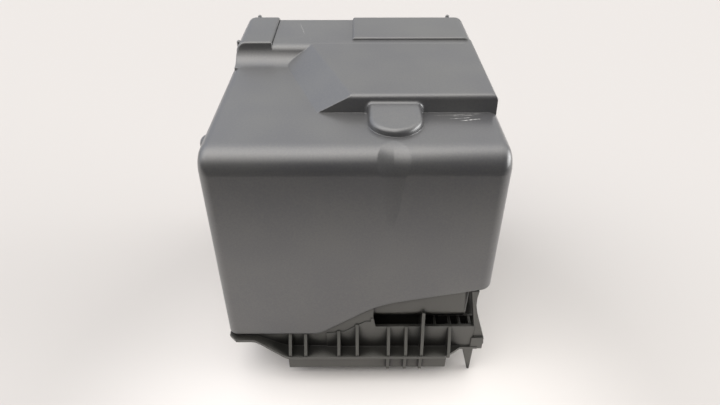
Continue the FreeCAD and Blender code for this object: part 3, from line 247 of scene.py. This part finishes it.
@dataclass(frozen=True)
class MouldedPlastic:
    """Satin injection-moulded plastic.

    To the eye it is a dark grey whose soft sheen mirrors the room as a blur, with a fine moulded grain,
    faint cloudy flow marks, a thin film of dust, and a few pale scratches. Its edges are painted paler,
    partly as wear and partly as a painted highlight, and its open faces can be painted paler than the
    hollows, which is painted shade in the hollows. Sizes are in millimetres. The speck is coarser
    than the real grain, so that it shows.
    """

    name: str
    colour: str
    flow_colour: str
    dust_colour: str
    roughness: float
    dust: float
    edge_radius: float
    # The paler edges are partly wear and partly a painted highlight; the paler open faces are painted light,
    # against painted shade in the hollows.
    edge_wear_and_highlight: float = 0.1
    pale_wear_and_light_colour: str = "858585"
    painted_open_light: float = 0.0
    index: float = 1.6
    sheen_level: float = 1.0
    grain: Cloud = Cloud(0.55, 3.0, 0.6)
    grain_height: float = 0.004
    grain_strength: float = 0.5
    wave_height: float = 0.12
    wave_strength: float = 0.2
    flow: Cloud = Cloud(46.0, 1.0, 0.4)
    speck: Cloud = Cloud(1.7, 2.0, 0.6)
    speck_share: float = 1.6
    flow_span: Span = Span(0.9, 1.7, 0.0, 1.0)
    film: Cloud = Cloud(71.0, 2.0, 0.5)
    film_span: Span = Span(0.25, 0.75, 0.2, 1.0)
    lying_span: Span = Span(-0.3, 0.9, 0.35, 1.0)
    clean_polish: float = 0.03
    film_dulling: float = 0.05
    edge_samples: int = 8
    edge_from: float = 0.82
    edge_to: float = 0.999
    hollow_samples: int = 8
    hollow_reach: float = 18.0
    open_from: float = 0.6
    open_to: float = 0.95
    scratches: Sequence[Scratch] = ()
    scratch_look: ScratchLook = ScratchLook()

    def dusty_colour(self, tree: Tree, place: Socket, swirl: bpy.types.Node, film: bpy.types.Node) -> Socket:
        """Mix the plastic's flow marks with the dust that lies on it.

        Args:
            tree: The tree to add to.
            place: The place in millimetres.
            swirl: The cloudy pattern of the flow marks.
            film: Where the dust lies.

        Returns:
            The colour's socket.
        """
        fine = tree.add("TexNoise", Vector=place, **self.speck.inputs())
        speck = tree.add(
            "Math", {"operation": Step.MULTIPLY_ADD}, in_0=fine, in_1=self.speck_share, in_2=swirl
        )
        flow = tree.add("MapRange", SMOOTH, Value=speck, **self.flow_span.inputs())
        base = tree.add(
            "Mix", {"data_type": "RGBA"}, in_0=flow, in_6=srgb(self.colour), in_7=srgb(self.flow_colour)
        )
        upward = tree.add("SeparateXYZ", Vector=tree.add("NewGeometry").outputs["Normal"]).outputs["Z"]
        lying = tree.add("MapRange", SMOOTH, Value=upward, **self.lying_span.inputs())
        settled = tree.add("Math", {"operation": Step.MULTIPLY}, in_0=film, in_1=lying)
        dust = tree.add("Math", {"operation": Step.MULTIPLY}, in_0=settled, in_1=self.dust)
        dusty = tree.add(
            "Mix", {"data_type": "RGBA"}, in_0=dust, in_6=base.outputs[2], in_7=srgb(self.dust_colour)
        )
        return dusty.outputs[2]

    def paint_wear_and_light(self, tree: Tree, colour: Socket, soft: bpy.types.Node) -> Socket:
        """Paint the open faces paler than the hollows, which is painted shade, and the edges paler, partly as
        wear and partly as a painted highlight.

        Args:
            tree: The tree to add to.
            colour: The colour so far.
            soft: The bevel, whose normal leaves the face's own one near an edge.

        Returns:
            The colour's socket.
        """
        pale = srgb(self.pale_wear_and_light_colour)
        reach = self.hollow_reach * MILLIMETRE
        # Painted shade: the ambient occlusion keeps the hollows at the plain colour and paints the open faces
        # paler, as if lit.
        free = tree.add("AmbientOcclusion", {"samples": self.hollow_samples}, Distance=reach).outputs["AO"]
        painted_open_light = Span(self.open_from, self.open_to, 0.0, self.painted_open_light)
        painted_light_mask = tree.add("MapRange", SMOOTH, Value=free, **painted_open_light.inputs())
        face = tree.add("Mix", {"data_type": "RGBA"}, in_0=painted_light_mask, in_6=colour, in_7=pale)
        facing = tree.add("NewGeometry").outputs["Normal"]
        # Partly wear and partly a painted highlight: the edges are painted paler where the bevel's normal
        # leaves the face's own.
        bend = tree.add("VectorMath", {"operation": VectorStep.DOT}, in_0=soft, in_1=facing).outputs[1]
        edge_wear_and_highlight_span = Span(self.edge_from, self.edge_to, self.edge_wear_and_highlight, 0.0)
        edge_wear_and_highlight_mask = tree.add("MapRange", SMOOTH, Value=bend, **edge_wear_and_highlight_span.inputs())
        edge = tree.add("Mix", {"data_type": "RGBA"}, in_0=edge_wear_and_highlight_mask, in_6=face.outputs[2], in_7=pale)
        return edge.outputs[2]

    def relief(self, tree: Tree, place: Socket, swirl: bpy.types.Node, soft: bpy.types.Node) -> bpy.types.Node:
        """Lay the slow waves of the flow marks and the fine grain on the surface.

        Args:
            tree: The tree to add to.
            place: The place in millimetres.
            swirl: The cloudy pattern of the flow marks.
            soft: The bevel that softens the edges.

        Returns:
            The bump that ends the relief.
        """
        wave_height = self.wave_height * MILLIMETRE
        wave = tree.add("Bump", Strength=self.wave_strength, Distance=wave_height, Height=swirl, Normal=soft)
        grain = tree.add("TexNoise", Vector=place, **self.grain.inputs())
        grain_height = self.grain_height * MILLIMETRE
        return tree.add("Bump", Strength=self.grain_strength, Distance=grain_height, Height=grain, Normal=wave)

    def build(self) -> bpy.types.Material:
        """Make the material.

        Returns:
            The material with its nodes.
        """
        material, tree = start_material(self.name)
        place = tree.place()
        swirl = tree.add("TexNoise", Vector=place, **self.flow.inputs())
        patches = tree.add("TexNoise", Vector=place, **self.film.inputs())
        film = tree.add("MapRange", SMOOTH, Value=patches, **self.film_span.inputs())
        soft = tree.add("Bevel", {"samples": self.edge_samples}, Radius=self.edge_radius * MILLIMETRE)
        colour = self.paint_wear_and_light(tree, self.dusty_colour(tree, place, swirl, film), soft)
        polished = self.roughness - self.clean_polish
        rough = tree.add(
            "Math", {"operation": Step.MULTIPLY_ADD}, in_0=film, in_1=self.film_dulling, in_2=polished
        )
        if self.scratches:
            look = self.scratch_look
            mask = look.mask(tree, self.scratches)
            scratched = tree.add("Mix", {"data_type": "RGBA"}, in_0=mask, in_6=colour, in_7=srgb(look.colour))
            colour = scratched.outputs[2]
            rough = tree.add("Math", {"operation": Step.MULTIPLY_ADD}, in_0=mask, in_1=look.dulling, in_2=rough)
        shader = tree.add(
            "BsdfPrincipled",
            Base_Color=colour,
            Roughness=rough,
            Normal=self.relief(tree, place, swirl, soft),
            IOR=self.index,
            Specular_IOR_Level=self.sheen_level,
        )
        tree.add("OutputMaterial", Surface=shader)
        return material


@dataclass(frozen=True)
class PressedRubber:
    """Pressed rubber mat: dead matt and nearly black, with a grey bloom that lies in patches."""

    name: str = "pressed_rubber"
    colour: str = "1E1E1F"
    bloom_colour: str = "3B3B39"
    bloom: Cloud = Cloud(22.0, 5.0, 0.6)
    bloom_span: Span = Span(0.42, 0.68, 0.0, 0.8)
    rough_span: Span = Span(0.0, 0.8, 0.72, 0.9)
    grain: Cloud = Cloud(0.8, 4.0, 0.7)
    grain_height: float = 0.08
    grain_strength: float = 0.5

    def build(self) -> bpy.types.Material:
        """Make the material.

        Returns:
            The material with its nodes.
        """
        material, tree = start_material(self.name)
        place = tree.place()
        patches = tree.add("TexNoise", Vector=place, **self.bloom.inputs())
        bloom = tree.add("MapRange", SMOOTH, Value=patches, **self.bloom_span.inputs())
        colour = tree.add(
            "Mix", {"data_type": "RGBA"}, in_0=bloom, in_6=srgb(self.colour), in_7=srgb(self.bloom_colour)
        )
        rough = tree.add("MapRange", SMOOTH, Value=bloom, **self.rough_span.inputs())
        grain = tree.add("TexNoise", Vector=place, **self.grain.inputs())
        height = self.grain_height * MILLIMETRE
        bump = tree.add("Bump", Strength=self.grain_strength, Distance=height, Height=grain)
        shader = tree.add("BsdfPrincipled", Base_Color=colour.outputs[2], Roughness=rough, Normal=bump)
        tree.add("OutputMaterial", Surface=shader)
        return material


@dataclass(frozen=True)
class ZincPlatedSteel:
    """Zinc-plated steel: a bluish silver with a faint yellow cast, drawn marks and dull patches."""

    name: str = "zinc_plated_steel"
    colour: str = "B9BCC0"
    cast_colour: str = "A8A189"
    cast: Cloud = Cloud(6.0, 4.0, 0.6)
    cast_span: Span = Span(0.4, 0.65, 0.0, 0.8)
    drawn: Cloud = Cloud(0.3, 2.0, 0.6)
    drawn_stretch: Triple = (1.0, 1.0, 0.1)
    rough_span: Span = Span(0.3, 0.7, 0.26, 0.44)
    edge_samples: int = 6
    edge_radius: float = 0.4
    mark_height: float = 0.02
    mark_strength: float = 0.3

    def build(self) -> bpy.types.Material:
        """Make the material.

        Returns:
            The material with its nodes.
        """
        material, tree = start_material(self.name)
        patches = tree.add("TexNoise", Vector=tree.place(), **self.cast.inputs())
        cast = tree.add("MapRange", SMOOTH, Value=patches, **self.cast_span.inputs())
        colour = tree.add(
            "Mix", {"data_type": "RGBA"}, in_0=cast, in_6=srgb(self.colour), in_7=srgb(self.cast_colour)
        )
        drawn = tree.add("TexNoise", Vector=tree.place(self.drawn_stretch), **self.drawn.inputs())
        rough = tree.add("MapRange", SMOOTH, Value=drawn, **self.rough_span.inputs())
        soft = tree.add("Bevel", {"samples": self.edge_samples}, Radius=self.edge_radius * MILLIMETRE)
        height = self.mark_height * MILLIMETRE
        bump = tree.add("Bump", Strength=self.mark_strength, Distance=height, Height=drawn, Normal=soft)
        shader = tree.add(
            "BsdfPrincipled", Base_Color=colour.outputs[2], Roughness=rough, Normal=bump, Metallic=1.0
        )
        tree.add("OutputMaterial", Surface=shader)
        return material


def dress(node: str, material: bpy.types.Material) -> None:
    """Give a part of the frame its finish.

    Args:
        node: The part's name.
        material: The finish.
    """
    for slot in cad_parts[node].material_slots:
        slot.material = material
    LOG.info("%s is finished in %s", node, material.name)


@dataclass
class Hood:
    """The tall hood over the battery."""

    # Satin polypropylene: a mid grey that mirrors the room softly, with a cluster of fine pale
    # scratches at the right of its low front top.
    finish: MouldedPlastic = MouldedPlastic(
        name="satin_hood_polypropylene",
        colour="4F4F52",
        flow_colour="595958",
        dust_colour="8C8B88",
        roughness=0.305,
        dust=0.05,
        edge_radius=1.3,
        scratches=(
            Scratch((84.0, -68.0, 272.0), (110.0, -66.8, 272.0), 0.45, 0.6),
            Scratch((82.0, -70.6, 272.0), (103.0, -69.8, 272.0), 0.5, 0.6),
            Scratch((88.5, -79.2, 272.0), (107.0, -75.8, 272.0), 0.75, 1.0),
            Scratch((80.0, -75.6, 272.0), (99.0, -73.4, 272.0), 0.55, 0.75),
            Scratch((66.0, -69.5, 272.0), (92.0, -69.0, 272.0), 0.45, 0.35),
            Scratch((-62.0, 116.0, 287.9), (-54.0, 80.0, 287.9), 0.6, 0.3),
            Scratch((12.5, -136.0, 150.0), (13.5, -136.0, 153.0), 1.0, 0.3),
        ),
    )

    def build(self) -> None:
        """Dress the hood."""
        dress("cover", self.finish.build())


@dataclass
class BaseTray:
    """The ribbed base moulding and the rubber mat on its floor."""

    # Dusty polypropylene: nearly black and rather dull. Its rib tips and outer faces are painted a paler
    # brownish grey than the hollows between the ribs, which is painted shade in the hollows, and its edges are
    # painted paler, partly as wear and partly as a painted highlight.
    finish: MouldedPlastic = MouldedPlastic(
        name="dusty_tray_polypropylene",
        colour="222220",
        flow_colour="272624",
        dust_colour="85827A",
        roughness=0.36,
        dust=0.06,
        edge_radius=0.9,
        edge_wear_and_highlight=0.2,
        pale_wear_and_light_colour="8A8984",
        sheen_level=0.3,
        painted_open_light=0.5,
    )
    mat: PressedRubber = PressedRubber()

    def build(self) -> None:
        """Dress the tray and its mat."""
        dress("tray", self.finish.build())
        dress("battery_mat", self.mat.build())


@dataclass
class BaseClamp:
    """The clamp at the foot of the battery, and the steel parts of the tray."""

    # Glass-filled nylon: black, duller than the polypropylene and coarser in its grain.
    wedge: MouldedPlastic = MouldedPlastic(
        name="filled_nylon",
        colour="2A2A2C",
        flow_colour="303031",
        dust_colour="6E6C66",
        roughness=0.45,
        dust=0.08,
        edge_radius=0.5,
        grain_height=0.03,
    )
    plating: ZincPlatedSteel = ZincPlatedSteel()
    steel_parts: tuple[str, ...] = ("hold_down_bolt", "hold_down_nut")
    sleeves: int = 4

    def build(self) -> None:
        """Dress the wedge, the bolt, the nut and the sleeves."""
        dress("hold_down_wedge", self.wedge.build())
        steel = self.plating.build()
        for part in self.steel_parts:
            dress(part, steel)
        for number in range(1, self.sleeves + 1):
            dress(f"mount_sleeve_{number}", steel)


@dataclass
class Studio:
    """The pale floor and the soft light all round it.

    The light is a warm strip of sky overhead that runs from left to right and draws back on the
    right, a paler wall behind the object that is cooler towards the left, a dim front, and a bright
    wall far to the right. The object mirrors the floor as pale near it and dim beyond. The height of
    the sky is an angle in degrees, from the front horizon at 0 over the zenith at 90 to the rear
    horizon at 180, and its side runs from -1 at the left to 1 at the right. Distances are in metres.
    """

    floor_reach: float = 6.0
    pale: str = "EFEBE8"
    # Painted light: the floor is shown to the camera brighter near the object's front, which lifts its shadow
    # there.
    painted_light_middle: Triple = (0.0, -0.2, 0.0)
    painted_floor_light: Span = Span(0.05, 0.34, 1.15, 0.7)
    mirrored_floor: Span = Span(-0.6, -0.28, 0.05, 0.86)
    wall: Span = Span(30.0, 138.0, 0.03, 1.1)
    wall_foot: Span = Span(140.0, 160.0, 1.0, 0.55)
    right_wall: Span = Span(0.8, 0.98, 0.0, 5.0)
    coolness: Span = Span(-0.75, 0.1, 1.0, 0.0)
    cool_light: Colour = (0.95, 1.0, 1.12, 1.0)
    strip_front: Span = Span(24.0, 80.0, 0.0, 1.0)
    strip_rear: Span = Span(80.0, 138.0, 1.0, 0.0)
    strip_slant: Span = Span(0.0, 0.3, 0.0, 42.0)
    strip_right: Span = Span(0.45, 0.95, 2.4, 0.3)
    strip_left: Span = Span(-1.0, -0.7, 0.3, 1.0)
    warm_light: Colour = (1.03, 1.0, 0.96, 1.0)

    def floor(self) -> None:
        """Lay the pale floor, shown to the camera with painted light near the object's front."""
        reach = self.floor_reach
        corners = [(-reach, -reach, 0.0), (reach, -reach, 0.0), (reach, reach, 0.0), (-reach, reach, 0.0)]
        mesh = bpy.data.meshes.new("studio_floor")
        mesh.from_pydata(corners, [], [(0, 1, 2, 3)])
        plane = bpy.data.objects.new("studio_floor", mesh)
        bpy.context.scene.collection.objects.link(plane)
        material, tree = start_material("pale_floor")
        colour = srgb(self.pale)
        place = tree.add("TexCoord").outputs["Object"]
        # Painted light: near the object's front the floor's colour seen by the camera is raised, which lifts
        # the object's shadow.
        away = tree.add(
            "VectorMath", {"operation": VectorStep.DISTANCE}, in_0=place, in_1=self.painted_light_middle
        ).outputs[1]
        painted_light_share = tree.add("MapRange", SMOOTH, Value=away, **self.painted_floor_light.inputs())
        seen = tree.add("VectorMath", {"operation": VectorStep.SCALE}, in_0=colour[:3], Scale=painted_light_share)
        far = tree.add("SeparateXYZ", Vector=place).outputs["Y"]
        near = tree.add("MapRange", SMOOTH, Value=far, **self.mirrored_floor.inputs())
        mirrored = tree.add("Mix", {"data_type": "RGBA"}, in_0=near, in_6=BLACK, in_7=colour).outputs[2]
        camera = tree.add("LightPath").outputs["Is Camera Ray"]
        mixed = tree.add("Mix", {"data_type": "RGBA"}, in_0=camera, in_6=mirrored, in_7=seen).outputs[2]
        shader = tree.add("BsdfDiffuse", Color=mixed)
        tree.add("OutputMaterial", Surface=shader)
        mesh.materials.append(material)

    def overhead_strip(self, tree: Tree, height: Socket, side: Socket) -> bpy.types.Node:
        """Set the warm strip of light overhead.

        Args:
            tree: The world's tree.
            height: The height of the sky in degrees.
            side: The side of the sky, from left to right.

        Returns:
            The strip's light.
        """
        slant = tree.add("MapRange", SMOOTH, Value=side, **self.strip_slant.inputs())
        slanted = tree.add("Math", {"operation": Step.SUBTRACT}, in_0=height, in_1=slant)
        front = tree.add("MapRange", SMOOTH, Value=slanted, **self.strip_front.inputs())
        rear = tree.add("MapRange", SMOOTH, Value=height, **self.strip_rear.inputs())
        strip = tree.add("Math", {"operation": Step.MULTIPLY}, in_0=front, in_1=rear)
        right = tree.add("MapRange", SMOOTH, Value=side, **self.strip_right.inputs())
        left = tree.add("MapRange", SMOOTH, Value=side, **self.strip_left.inputs())
        both = tree.add("Math", {"operation": Step.MULTIPLY}, in_0=right, in_1=left)
        strength = tree.add("Math", {"operation": Step.MULTIPLY}, in_0=strip, in_1=both)
        return tree.add("Background", Color=self.warm_light, Strength=strength)

    def walls(self, tree: Tree, height: Socket, side: Socket) -> bpy.types.Node:
        """Set the light of the walls.

        Args:
            tree: The world's tree.
            height: The height of the sky in degrees.
            side: The side of the sky, from left to right.

        Returns:
            The walls' light.
        """
        rising = tree.add("MapRange", SMOOTH, Value=height, **self.wall.inputs())
        foot = tree.add("MapRange", SMOOTH, Value=height, **self.wall_foot.inputs())
        round_wall = tree.add("Math", {"operation": Step.MULTIPLY}, in_0=rising, in_1=foot)
        right = tree.add("MapRange", SMOOTH, Value=side, **self.right_wall.inputs())
        strength = tree.add("Math", {"operation": Step.ADD}, in_0=round_wall, in_1=right)
        coolness = tree.add("MapRange", SMOOTH, Value=side, **self.coolness.inputs())
        tint = tree.add("Mix", {"data_type": "RGBA"}, in_0=coolness, in_6=WHITE, in_7=self.cool_light)
        return tree.add("Background", Color=tint.outputs[2], Strength=strength)

    def sky(self) -> None:
        """Set the light that comes from all round, and the pale backdrop."""
        world = bpy.data.worlds.new("studio")
        world.use_nodes = True
        bpy.context.scene.world = world
        tree = Tree(world.node_tree)
        parts = tree.add("SeparateXYZ", Vector=tree.add("TexCoord").outputs["Generated"]).outputs
        ahead = tree.add("Math", {"operation": Step.MULTIPLY}, in_0=parts["Y"], in_1=-1.0)
        turned = tree.add("Math", {"operation": Step.ANGLE}, in_0=parts["Z"], in_1=ahead)
        degrees = math.degrees(1.0)
        height = tree.add("Math", {"operation": Step.MULTIPLY}, in_0=turned, in_1=degrees).outputs[0]
        walls = self.walls(tree, height, parts["X"])
        strip = self.overhead_strip(tree, height, parts["X"])
        lit = tree.add("AddShader", in_0=walls, in_1=strip)
        seen = tree.add("LightPath").outputs["Is Camera Ray"]
        shown = tree.add("Background", Color=srgb(self.pale), Strength=1.0)
        both = tree.add("MixShader", in_0=seen, in_1=lit, in_2=shown)
        tree.add("OutputWorld", Surface=both)

    def build(self) -> None:
        """Set up the studio."""
        self.floor()
        self.sky()


@dataclass
class Viewpoint:
    """The camera at the photograph's angle, in metres, millimetres of film and degrees."""

    place: Triple = (0.00184, -0.46988, 0.49001)
    lens: float = 26.19
    film_width: float = 36.0
    pitch_down: float = 38.0
    yaw_right: float = 0.33
    roll: float = -0.05

    def build(self) -> None:
        """Set the camera."""
        data = bpy.data.cameras.new("photo_view")
        data.lens = self.lens
        data.sensor_width = self.film_width
        camera = bpy.data.objects.new("photo_view", data)
        pitch, yaw = math.radians(self.pitch_down), math.radians(self.yaw_right)
        forward = Vector((math.sin(yaw) * math.cos(pitch), math.cos(yaw) * math.cos(pitch), -math.sin(pitch)))
        camera.rotation_mode = "QUATERNION"
        aimed = forward.to_track_quat("-Z", "Y")
        camera.rotation_quaternion = Quaternion(forward, math.radians(self.roll)) @ aimed
        camera.location = self.place
        bpy.context.scene.collection.objects.link(camera)
        bpy.context.scene.camera = camera


def main() -> None:
    """Build the object's looks, the studio and the camera."""
    logging.basicConfig(level=logging.INFO, format="%(message)s")
    bpy.context.scene.view_settings.view_transform = "Standard"
    for part in (BaseTray(), BaseClamp(), Hood(), Studio(), Viewpoint()):
        part.build()
        LOG.info("%s is built", type(part).__name__)


if __name__ == "__main__":
    main()
